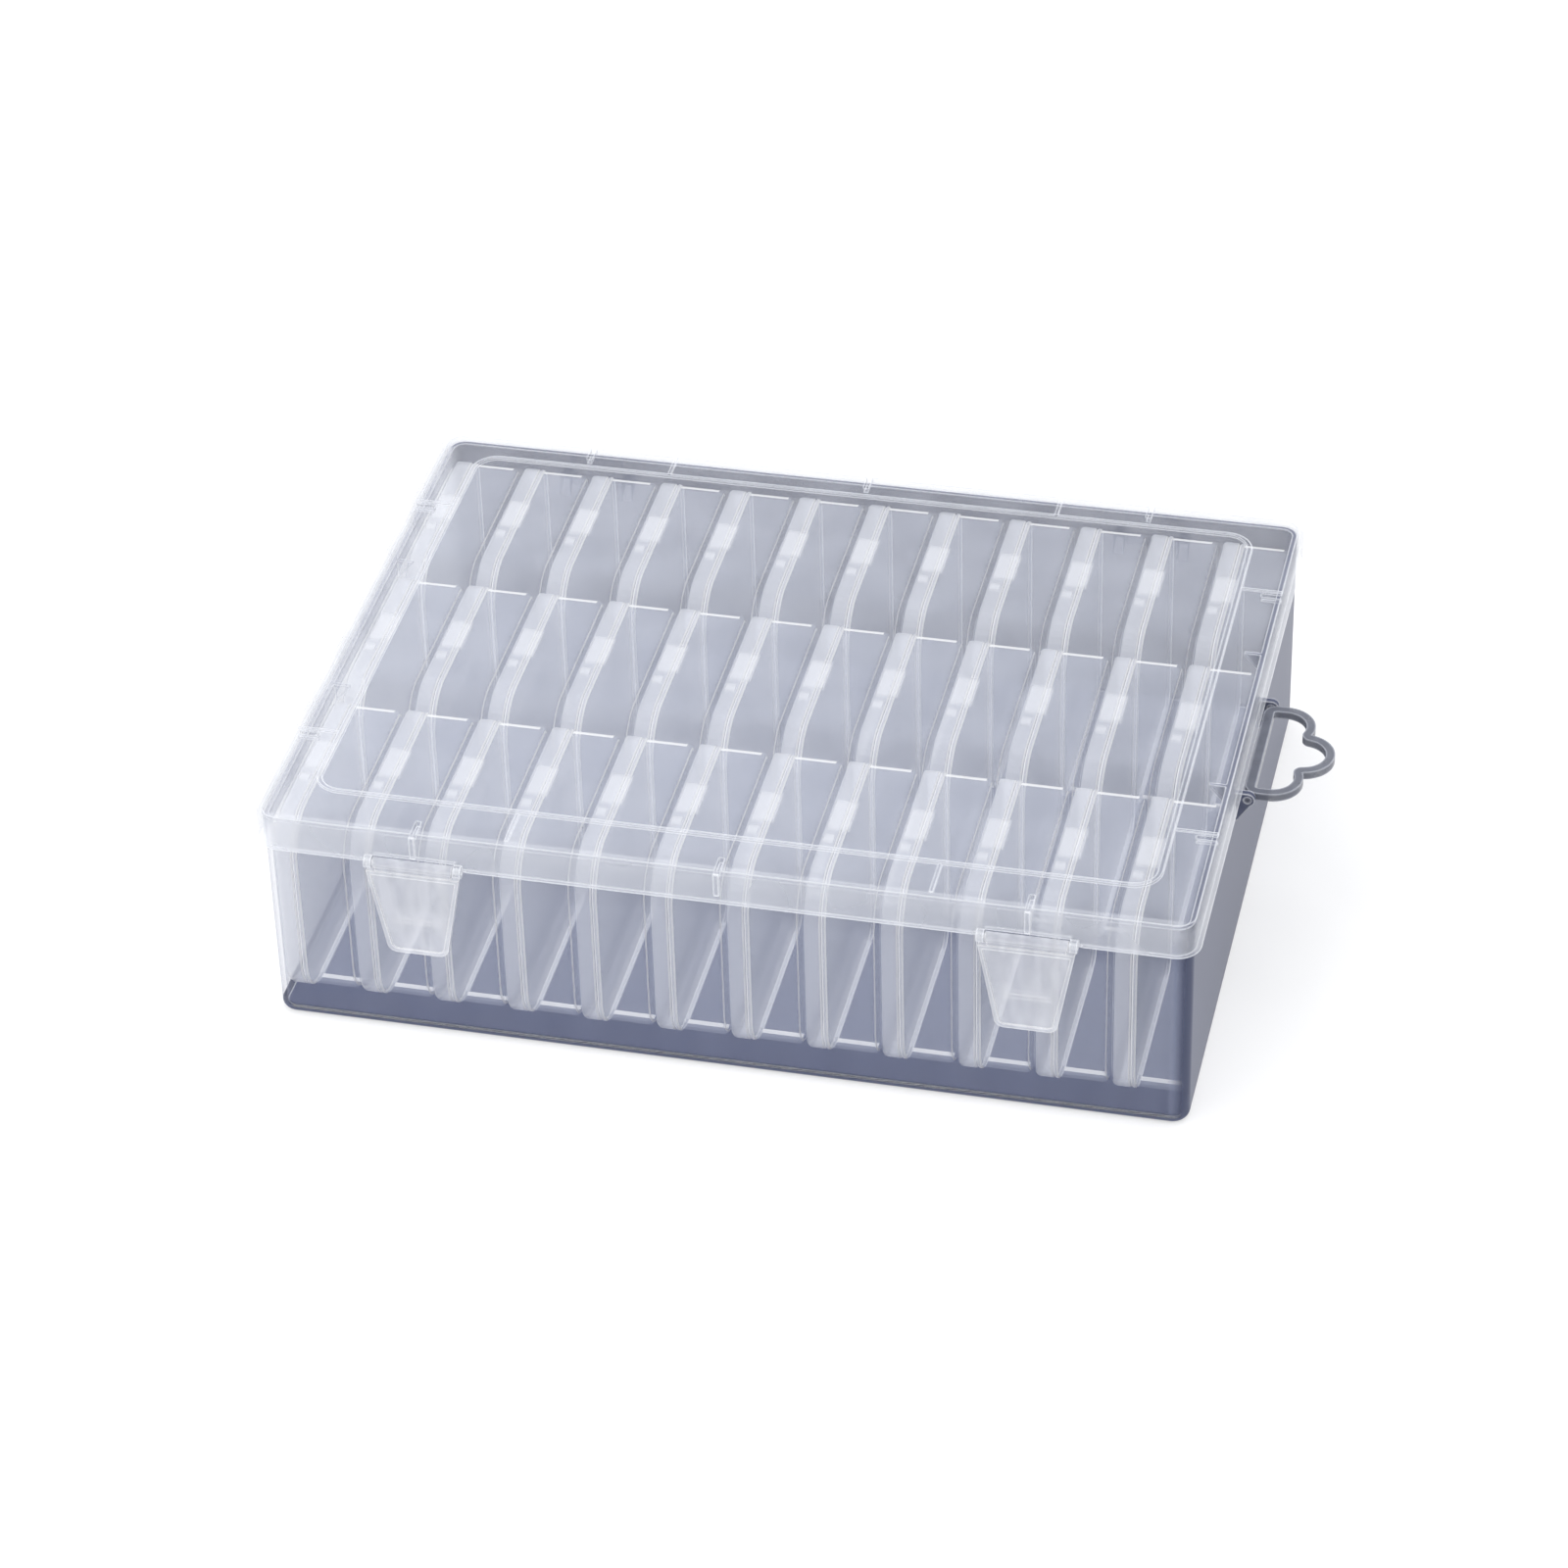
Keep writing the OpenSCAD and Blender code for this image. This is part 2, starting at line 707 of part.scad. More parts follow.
// Snap latch: a tapered flap hung from a barrel, with a raised edge and a hook behind it
module latch() {
    translate([0, latch_y, latch_z]) {
        rotate([0, 90, 0])
            cylinder(h = barrel_l, r = barrel_r, center = true);
        rotate([0, 90, 0])
            cylinder(h = notch_w + 2 * latch_pin_l - 0.4, r = latch_pin_r, center = true);
        translate([-neck_w / 2, plate_in_y - latch_t, -shoulder_drop - 1])
            cube([neck_w, latch_t, shoulder_drop + 1]);
        translate([0, plate_in_y, 0])
            rotate([90, 0, 0]) {
                linear_extrude(latch_t)
                    latch_outline(0);
                linear_extrude(latch_t + latch_rim_h)
                    difference() {
                        latch_outline(0);
                        latch_outline(latch_rim_w);
                    }
            }
        translate([-catch_l / 2, plate_in_y - latch_t / 2, -catch_drop - hook_h - 0.2])
            cube([catch_l, latch_t / 2 + hook_reach, hook_h]);
    }
}

module latch_left() {
    color(frosted_pp)
        translate([-latch_x, 0, 0])
            latch();
}

module latch_right() {
    color(frosted_pp)
        translate([latch_x, 0, 0])
            latch();
}

// Half of the handle's plan, drawn in by inset: a side lobe and the way over to the end lobe
module half_trefoil(inset) {
    intersection() {
        translate([side_lobe_x, lobe_y])
            circle(side_lobe_r - inset);
        translate([spine_r - spine_in, 0])
            square([side_lobe_x + side_lobe_r, handle_half]);
    }
    translate([spine_r - spine_in, handle_half - spine_r])
        circle(spine_r - inset);
    translate([spine_r - spine_in, 0])
        square([side_lobe_x + spine_in - spine_r, handle_half - inset]);
    translate([inset - spine_in, 0])
        square([spine_r - inset, handle_half - spine_r]);
    difference() {
        polygon([[side_lobe_x, 0], [side_lobe_x, lobe_y], lobe_cusp, [end_lobe_x, 0]]);
        if (inset > 0)
            translate(lobe_cusp)
                circle(inset);
    }
}

// Plan of the handle to the right of a line at left, drawn in by inset
module trefoil(inset, left) {
    intersection() {
        union() {
            half_trefoil(inset);
            mirror([0, 1])
                half_trefoil(inset);
            translate([end_lobe_x, 0])
                circle(end_lobe_r - inset);
        }
        translate([left, -handle_half])
            square([end_lobe_x + end_lobe_r - left, 2 * handle_half]);
    }
}

// Trefoil hang handle, pivoting along its straight strip
module hang_handle() {
    pin_l = 2 * (handle_half + side_gap + handle_ear_t) - 0.4;
    color(grey_pp)
        translate([handle_x, 0, handle_z]) {
            translate([0, 0, -handle_t / 2])
                linear_extrude(handle_t)
                    difference() {
                        trefoil(0, -spine_in);
                        trefoil(band_w, spine_in);
                    }
            for (y = [-1, 1])
                translate([0, y * pin_l / 2, 0])
                    rotate([y * 90, 0, 0])
                        cylinder(h = spine_r + side_gap + handle_ear_t, r = handle_pin_r);
        }
}

base_tub();
lid();
latch_left();
latch_right();
hang_handle();
case_at(0, 1);  // case_front_01
case_at(0, 2);  // case_front_02
case_at(0, 3);  // case_front_03
case_at(0, 4);  // case_front_04
case_at(0, 5);  // case_front_05
case_at(0, 6);  // case_front_06
case_at(0, 7);  // case_front_07
case_at(0, 8);  // case_front_08
case_at(0, 9);  // case_front_09
case_at(0, 10);  // case_front_10
case_at(0, 11);  // case_front_11
case_at(0, 12);  // case_front_12
case_at(1, 1);  // case_middle_01
case_at(1, 2);  // case_middle_02
case_at(1, 3);  // case_middle_03
case_at(1, 4);  // case_middle_04
case_at(1, 5);  // case_middle_05
case_at(1, 6);  // case_middle_06
case_at(1, 7);  // case_middle_07
case_at(1, 8);  // case_middle_08
case_at(1, 9);  // case_middle_09
case_at(1, 10);  // case_middle_10
case_at(1, 11);  // case_middle_11
case_at(1, 12);  // case_middle_12
case_at(2, 1);  // case_rear_01
case_at(2, 2);  // case_rear_02
case_at(2, 3);  // case_rear_03
case_at(2, 4);  // case_rear_04
case_at(2, 5);  // case_rear_05
case_at(2, 6);  // case_rear_06
case_at(2, 7);  // case_rear_07
case_at(2, 8);  // case_rear_08
case_at(2, 9);  // case_rear_09
case_at(2, 10);  // case_rear_10
case_at(2, 11);  // case_rear_11
case_at(2, 12);  // case_rear_12
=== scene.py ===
"""Looks of an embroidery thread box: a clear snap-shut case with 36 slim mini cases on edge.

Metres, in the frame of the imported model: +X is right, +Y is back, +Z is up. The tub, the lid,
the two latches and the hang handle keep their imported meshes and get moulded-plastic finishes.
The mini cases are rebuilt here with round edges, rims, hinge strips and snap tongues.
"""

from __future__ import annotations

import logging
import math
from dataclasses import dataclass, field
from enum import Enum

import bmesh
import bpy
from mathutils import Matrix, Vector


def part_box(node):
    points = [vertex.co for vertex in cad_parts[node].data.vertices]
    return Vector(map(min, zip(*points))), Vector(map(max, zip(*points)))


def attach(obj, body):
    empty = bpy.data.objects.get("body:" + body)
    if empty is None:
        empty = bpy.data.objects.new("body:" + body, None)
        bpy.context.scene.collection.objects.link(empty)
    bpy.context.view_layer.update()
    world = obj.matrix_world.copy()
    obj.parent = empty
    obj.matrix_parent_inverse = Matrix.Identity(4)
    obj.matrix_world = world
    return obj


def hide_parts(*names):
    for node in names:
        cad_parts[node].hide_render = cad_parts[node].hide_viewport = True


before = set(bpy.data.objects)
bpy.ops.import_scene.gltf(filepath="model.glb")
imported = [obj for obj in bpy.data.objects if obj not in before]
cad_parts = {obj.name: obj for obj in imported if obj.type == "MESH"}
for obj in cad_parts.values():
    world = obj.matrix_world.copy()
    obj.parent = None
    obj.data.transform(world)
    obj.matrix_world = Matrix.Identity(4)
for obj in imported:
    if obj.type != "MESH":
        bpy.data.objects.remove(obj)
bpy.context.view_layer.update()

LOG = logging.getLogger("thread_box")
MM = 0.001

# Refractive index of polypropylene
PP_INDEX = 1.49
# No face is quite opaque
MOST_OPACITY = 0.97
# Between these values lies nearly all of a Noise Texture
NOISE_SPAN = (0.3, 0.7)
# Cosine between the true and the softened normal, where the painted highlight on an edge starts
# and is full
EDGE_SPAN = (0.995, 0.85)
EDGE_SAMPLES = 4
# Two places nearer than this, in mm, are one
NEAR = 1e-4


class Row(Enum):
    """The three rows of mini cases, from front to back."""

    FRONT = 0
    MIDDLE = 1
    REAR = 2


class Zone(Enum):
    """The finishes on one mini case, by material index."""

    WALL = 0
    STRIP = 1
    # Painted highlight along rounded edges, parting lines and rims
    EDGE = 2
    TONGUE = 3


def linear(code: str) -> tuple[float, float, float, float]:
    """Turns an sRGB hex colour into a linear colour.

    Args:
        code: The colour as "#rrggbb".

    Returns:
        Red, green and blue in linear light, with an alpha of 1.
    """
    channels = [int(code[i : i + 2], 16) / 255 for i in (1, 3, 5)]
    light = [c / 12.92 if c <= 0.04045 else ((c + 0.055) / 1.055) ** 2.4 for c in channels]
    return (light[0], light[1], light[2], 1.0)


def add_node(
    tree: bpy.types.NodeTree,
    kind: str,
    settings: dict[str, object] | None = None,
    inputs: dict[str | int, object] | None = None,
) -> bpy.types.Node:
    """Adds one node with its settings, its input values and its links.

    Args:
        tree: The node tree to add to.
        kind: The node's type name.
        settings: Values for the node's own attributes.
        inputs: For each input, by name or number, a value or an output socket to link from.

    Returns:
        The new node.
    """
    node = tree.nodes.new(kind)
    for name, value in (settings or {}).items():
        setattr(node, name, value)
    for key, value in (inputs or {}).items():
        socket = node.inputs[key]
        if isinstance(value, bpy.types.NodeSocket):
            tree.links.new(value, socket)
        else:
            socket.default_value = value
    return node


@dataclass(frozen=True)
class Band:
    """A slab across one axis where a moulding is made more opaque and takes its deep colour.

    Attributes:
        axis: 0 for X, 1 for Y, 2 for Z.
        start: Where the slab starts to fade in, in mm.
        full: Where it is fully in, in mm. It may lie on either side of start.
        opacity: What the slab adds to the opacity.
    """

    axis: int
    start: float
    full: float
    opacity: float


@dataclass(frozen=True)
class ClearPlastic:
    """Injection-moulded polypropylene, which lets light through and clouds it a little.

    Attributes:
        name: The material's name.
        body: Colour of the plastic seen square on.
        facing: Opacity of one face seen square on.
        grazing: Opacity of one face seen edge on.
        rim: Colour of the painted highlight along sharp edges.
        deep: Colour inside the bands.
        falloff: How late the opacity rises towards the edge-on view.
        roughness: Roughness of the moulded skin.
        specular: Strength of its gloss, 0.5 for plain polypropylene.
        edge_mm: Reach of the painted highlight along sharp edges, 0 for none.
        edge_opacity: What that painted highlight adds to the opacity.
        streak: How much the flow lines of the moulding change the opacity.
        streak_mm: Width and length of a flow line.
        shade: What one face lets through of the light that falls on what lies behind it.
        bands: Where the plastic is made more opaque and takes the deep colour.
    """

    name: str
    body: str
    facing: float
    grazing: float
    rim: str = "#ffffff"
    deep: str = "#ffffff"
    falloff: float = 2.0
    roughness: float = 0.22
    specular: float = 0.5
    edge_mm: float = 0.0
    edge_opacity: float = 0.0
    streak: float = 0.0
    streak_mm: tuple[float, float] = (3.0, 60.0)
    shade: str = "#fefefe"
    bands: tuple[Band, ...] = ()

    def build(self) -> bpy.types.Material:
        """Makes the material.

        Returns:
            The new material, with a Principled shader whose alpha carries the clearness.
        """
        material = bpy.data.materials.new(self.name)
        material.use_nodes = True
        tree = material.node_tree
        tree.nodes.clear()
        place = add_node(tree, "ShaderNodeTexCoord").outputs["Object"]
        # Polypropylene lets nearly all light through square on and little edge on
        weight = add_node(tree, "ShaderNodeLayerWeight", inputs={"Blend": 0.5}).outputs["Facing"]
        late = self._math(tree, "POWER", weight, self.falloff)
        opacity = self._math(tree, "MULTIPLY_ADD", late, self.grazing - self.facing, self.facing)
        # Flow lines of the melt cloud the walls in faint stripes
        if self.streak > 0:
            opacity = self._streaks(tree, place, opacity)
        split = add_node(tree, "ShaderNodeSeparateXYZ", inputs={0: place})
        band_opacity: bpy.types.NodeSocket | None = None
        for band in self.bands:
            # Each band fades in over a short way, so the tint has no hard border
            ramp = add_node(
                tree,
                "ShaderNodeMapRange",
                inputs={
                    "Value": split.outputs[band.axis],
                    "From Min": band.start * MM,
                    "From Max": band.full * MM,
                    "To Min": 0.0,
                    "To Max": band.opacity,
                },
            )
            band_opacity = (
                self._math(tree, "MAXIMUM", band_opacity, ramp.outputs[0])
                if band_opacity
                else ramp.outputs[0]
            )
        colour: object = linear(self.body)
        # Inside the bands a face turns more opaque and takes the deep colour: painted shade on
        # the tub, painted light at the top of the case walls
        if band_opacity:
            opacity = self._math(tree, "ADD", opacity, band_opacity)
            least = min(band.opacity for band in self.bands)
            share = self._math(tree, "DIVIDE", band_opacity, least)
            colour = self._mix(tree, share, colour, linear(self.deep))
        # Painted highlight: sharp edges turn more opaque and take the rim colour
        if self.edge_mm > 0:
            edge = self._edge_highlight(tree)
            opacity = self._math(tree, "MULTIPLY_ADD", edge, self.edge_opacity, opacity)
            colour = self._mix(tree, edge, colour, linear(self.rim))
        capped = self._math(tree, "MINIMUM", opacity, MOST_OPACITY)
        shader = add_node(
            tree,
            "ShaderNodeBsdfPrincipled",
            inputs={
                "Base Color": colour,
                "Roughness": self.roughness,
                "IOR": PP_INDEX,
                "Specular IOR Level": self.specular,
                "Alpha": capped,
            },
        )
        # Thin clear walls dim the light behind them only a little
        clear = add_node(
            tree, "ShaderNodeBsdfTransparent", inputs={"Color": linear(self.shade)}
        )
        in_shade = add_node(tree, "ShaderNodeLightPath").outputs["Is Shadow Ray"]
        surface = add_node(
            tree,
            "ShaderNodeMixShader",
            inputs={0: in_shade, 1: shader.outputs[0], 2: clear.outputs[0]},
        )
        add_node(tree, "ShaderNodeOutputMaterial", inputs={"Surface": surface.outputs[0]})
        return material

    @staticmethod
    def _math(
        tree: bpy.types.NodeTree, operation: str, *values: object
    ) -> bpy.types.NodeSocket:
        """Adds a Math node.

        Args:
            tree: The node tree.
            operation: The node's operation.
            *values: Its inputs, in order.

        Returns:
            The node's output.
        """
        node = add_node(
            tree, "ShaderNodeMath", {"operation": operation}, dict(enumerate(values))
        )
        return node.outputs[0]

    @staticmethod
    def _mix(
        tree: bpy.types.NodeTree, share: bpy.types.NodeSocket, one: object, other: object
    ) -> bpy.types.NodeSocket:
        """Adds a colour Mix node.

        Args:
            tree: The node tree.
            share: How much of the other colour there is.
            one: The first colour, or a socket that gives it.
            other: The other colour, or a socket that gives it.

        Returns:
            The mixed colour.
        """
        mix = add_node(tree, "ShaderNodeMix", {"data_type": "RGBA"})
        for key, value in ((0, share), (6, one), (7, other)):
            if isinstance(value, bpy.types.NodeSocket):
                tree.links.new(value, mix.inputs[key])
            else:
                mix.inputs[key].default_value = value
        return mix.outputs[2]

    def _streaks(
        self,
        tree: bpy.types.NodeTree,
        place: bpy.types.NodeSocket,
        opacity: bpy.types.NodeSocket,
    ) -> bpy.types.NodeSocket:
        """Lets upright flow lines change the opacity.

        Args:
            tree: The node tree.
            place: Object coordinates.
            opacity: The opacity so far.

        Returns:
            The changed opacity.
        """
        wide, long = self.streak_mm
        stretch = add_node(
            tree,
            "ShaderNodeMapping",
            inputs={
                "Vector": place,
                "Scale": (1 / (wide * MM), 1 / (wide * MM), 1 / (long * MM)),
            },
        )
        lines = add_node(
            tree,
            "ShaderNodeTexNoise",
            inputs={"Vector": stretch.outputs[0], "Scale": 1.0, "Detail": 0.0},
        )
        gain = add_node(
            tree,
            "ShaderNodeMapRange",
            inputs={
                "Value": lines.outputs[0],
                "From Min": NOISE_SPAN[0],
                "From Max": NOISE_SPAN[1],
                "To Min": 1 - self.streak,
                "To Max": 1 + self.streak,
            },
        )
        return self._math(tree, "MULTIPLY", opacity, gain.outputs[0])

    def _edge_highlight(self, tree: bpy.types.NodeTree) -> bpy.types.NodeSocket:
        """Finds the sharp edges of a moulding, for a painted highlight along them.

        Args:
            tree: The node tree.

        Returns:
            A socket that is 0 on flat walls and nears 1 at an edge.
        """
        soft = add_node(
            tree,
            "ShaderNodeBevel",
            {"samples": EDGE_SAMPLES},
            {"Radius": self.edge_mm * MM},
        )
        flat = add_node(tree, "ShaderNodeNewGeometry").outputs["Normal"]
        same = add_node(
            tree,
            "ShaderNodeVectorMath",
            {"operation": "DOT_PRODUCT"},
            {0: soft.outputs[0], 1: flat},
        )
        ramp = add_node(
            tree,
            "ShaderNodeMapRange",
            inputs={
                "Value": same.outputs["Value"],
                "From Min": EDGE_SPAN[0],
                "From Max": EDGE_SPAN[1],
                "To Min": 0.0,
                "To Max": 1.0,
            },
        )
        return ramp.outputs[0]


# Clear polypropylene with a smoky cast. The floor, the back and the right-hand wall read slate
# through painted shade: bands that make them more opaque and darker
TUB_SHELL = ClearPlastic(
    name="clear_polypropylene_tub",
    body="#a6adc6",
    rim="#f4f5fa",
    deep="#5a6079",
    facing=0.05,
    grazing=0.55,
    falloff=2.6,
    roughness=0.30,
    specular=0.10,
    # Painted highlight: a pale, more opaque line along the sharp edges
    edge_mm=0.8,
    edge_opacity=0.55,
    streak=0.25,
    streak_mm=(9.0, 120.0),
    # Painted shade: slate bands on the floor, the back wall and the right-hand wall
    bands=(
        Band(axis=2, start=2.8, full=2.0, opacity=0.84),
        Band(axis=1, start=95.0, full=97.5, opacity=0.56),
        Band(axis=0, start=126.0, full=130.4, opacity=0.66),
    ),
)

# Clearer polypropylene with white painted highlights along the sharp edges of its border, ribs
# and rim
LID_SHELL = ClearPlastic(
    name="clear_polypropylene_lid",
    body="#e0e4ef",
    rim="#f4f6fb",
    facing=0.055,
    grazing=0.40,
    falloff=2.4,
    roughness=0.16,
    edge_mm=0.8,
    edge_opacity=0.80,
    streak=0.20,
    streak_mm=(14.0, 14.0),
    deep="#eceff6",
    # The whole skirt is a little milky, its front more so
    bands=(
        Band(axis=2, start=69.4, full=68.6, opacity=0.12),
        Band(axis=1, start=-100.0, full=-101.0, opacity=0.22),
    ),
)

# Milky natural polypropylene, thin enough to show the next case through it
CASE_WALL = ClearPlastic(
    name="natural_polypropylene_case",
    body="#d8deef",
    deep="#d8deef",
    facing=0.032,
    grazing=0.25,
    falloff=1.6,
    roughness=0.26,
    # Painted light: the walls turn a little more opaque and paler towards the top, where the
    # light falls in
    bands=(Band(axis=2, start=10.0, full=55.0, opacity=0.022),),
)

# The narrow sides of the cover and the tray's rim, where the wall is seen on edge and clouds over
CASE_STRIP = ClearPlastic(
    name="frosted_polypropylene_strip",
    body="#eef0f7",
    facing=0.36,
    grazing=0.50,
    roughness=0.30,
)

# Painted highlight: rounded edges of a mini case drawn as thin, nearly opaque white lines
CASE_EDGE_HIGHLIGHT = ClearPlastic(
    name="painted_edge_highlight",
    body="#ffffff",
    facing=0.75,
    grazing=0.85,
    roughness=0.18,
)

# The snap tongue is thick and stress-whitened
CASE_TONGUE = ClearPlastic(
    name="whitened_polypropylene_tongue",
    body="#fbfcff",
    facing=0.15,
    grazing=0.40,
    roughness=0.28,
)

# The latches have a finely eroded, frosted skin, with a faint white painted highlight along their
# sharp edges
LATCH_SKIN = ClearPlastic(
    name="frosted_polypropylene_latch",
    body="#eff1f8",
    facing=0.34,
    grazing=0.60,
    falloff=1.6,
    roughness=0.34,
    edge_mm=0.6,
    edge_opacity=0.30,
    streak=0.2,
    streak_mm=(3.0, 10.0),
)

# Smoke-grey polypropylene of the hang handle, nearly opaque, with a paler painted highlight along
# its edges
HANDLE_SKIN = ClearPlastic(
    name="smoke_grey_polypropylene_handle",
    body="#6b6f7c",
    rim="#c3c6d0",
    facing=0.75,
    grazing=0.90,
    shade="#8c8c8c",
    roughness=0.24,
    edge_mm=0.9,
    edge_opacity=0.10,
    streak=0.1,
    streak_mm=(4.0, 4.0),
)


@dataclass(frozen=True)
class Softbox:
    """One soft light that is aimed at the box.

    Attributes:
        name: The light's name.
        place: Where it hangs, in metres.
        size: Its width and height, in metres.
        power: Its power in watts.
    """

    name: str
    place: tuple[float, float, float]
    size: tuple[float, float]
    power: float

    def hang(self, target: Vector) -> None:
        """Hangs the light.

        Args:
            target: The point it is aimed at.
        """
        light = bpy.data.lights.new(self.name, "AREA")
        light.shape = "RECTANGLE"
        light.size, light.size_y = self.size
        light.energy = self.power
        lamp = bpy.data.objects.new(self.name, light)
        lamp.location = self.place
        aim = target - Vector(self.place)
        lamp.rotation_euler = aim.to_track_quat("-Z", "Y").to_euler()
        bpy.context.scene.collection.objects.link(lamp)


@dataclass
class Studio:
    """The pale floor, the soft lights and the camera at the photograph's angle.

    Attributes:
        floor_size: Side of the floor, in metres.
        floor_colour: Colour of the floor.
        floor_roughness: Roughness of its paper.
        sky: Colour of the light from all round.
        sky_strength: Strength of that light.
        softboxes: The soft lights.
        target: The point they are aimed at, the middle of the box.
        lens: Focal length in mm.
        sensor: Width of the sensor in mm.
        camera_at: Where the camera stands.
        azimuth: How far to the right of the front it stands, in degrees.
        elevation: How far down it looks, in degrees.
        roll: How far it leans, in degrees.
    """

    floor_size: float = 12.0
    floor_colour: str = "#ffffff"
    floor_roughness: float = 0.9
    sky: str = "#fbfcff"
    sky_strength: float = 0.66
    softboxes: tuple[Softbox, ...] = (
        Softbox("key_softbox", (-0.7, -0.5, 1.7), (1.6, 1.6), 17.0),
        Softbox("top_softbox", (0.2, 0.7, 1.6), (1.4, 1.0), 10.0),
    )
    target: tuple[float, float, float] = (0.0, 0.0, 0.03)
    lens: float = 117.770
    sensor: float = 36.0
    camera_at: tuple[float, float, float] = (0.28630, -1.18246, 0.92700)
    azimuth: float = 13.843
    elevation: float = 36.478
    roll: float = -1.693

    def build(self) -> None:
        """Makes the floor, the lights and the camera."""
        self._floor()
        self._sky()
        for softbox in self.softboxes:
            softbox.hang(Vector(self.target))
        self._camera()

    def _floor(self) -> None:
        """Lays the floor under the box."""
        form = bmesh.new()
        bmesh.ops.create_grid(form, x_segments=1, y_segments=1, size=self.floor_size / 2)
        mesh = bpy.data.meshes.new("studio_floor")
        form.to_mesh(mesh)
        form.free()
        floor = bpy.data.objects.new("studio_floor", mesh)
        bpy.context.scene.collection.objects.link(floor)
        paper = bpy.data.materials.new("matt_white_paper")
        paper.use_nodes = True
        shader = paper.node_tree.nodes["Principled BSDF"]
        shader.inputs["Base Color"].default_value = linear(self.floor_colour)
        shader.inputs["Roughness"].default_value = self.floor_roughness
        mesh.materials.append(paper)

    def _sky(self) -> None:
        """Fills the room with even light."""
        world = bpy.data.worlds.new("soft_room")
        bpy.context.scene.world = world
        world.use_nodes = True
        room = world.node_tree.nodes["Background"]
        room.inputs["Color"].default_value = linear(self.sky)
        room.inputs["Strength"].default_value = self.sky_strength

    def _camera(self) -> None:
        """Sets the camera at the photograph's angle."""
        az, el, roll = (math.radians(a) for a in (self.azimuth, self.elevation, self.roll))
        forward = Vector(
            (-math.sin(az) * math.cos(el), math.cos(az) * math.cos(el), -math.sin(el))
        )
        right = forward.cross(Vector((0, 0, 1))).normalized()
        up = right.cross(forward)
        turned_right = right * math.cos(roll) + up * math.sin(roll)
        turned_up = up * math.cos(roll) - right * math.sin(roll)
        axes = Matrix((turned_right, turned_up, -forward)).transposed().to_4x4()
        lens = bpy.data.cameras.new("photo_camera")
        lens.lens = self.lens
        lens.sensor_width = self.sensor
        lens.clip_end = 4 * self.floor_size
        camera = bpy.data.objects.new("photo_camera", lens)
        camera.matrix_world = Matrix.Translation(self.camera_at) @ axes
        bpy.context.scene.collection.objects.link(camera)
        bpy.context.scene.camera = camera


@dataclass
class Shell:
    """A packed moulding that keeps its mesh and gets its finish.

    Attributes:
        node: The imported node.
        finish: The plastic it is moulded from.
    """

    node: str
    finish: bpy.types.Material

    def dress(self) -> None:
        """Puts the finish on every material slot of the node."""
        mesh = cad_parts[self.node].data
        if not mesh.materials:
            mesh.materials.append(self.finish)
        for index in range(len(mesh.materials)):
            mesh.materials[index] = self.finish
        LOG.info("dressed %s in %s", self.node, self.finish.name)


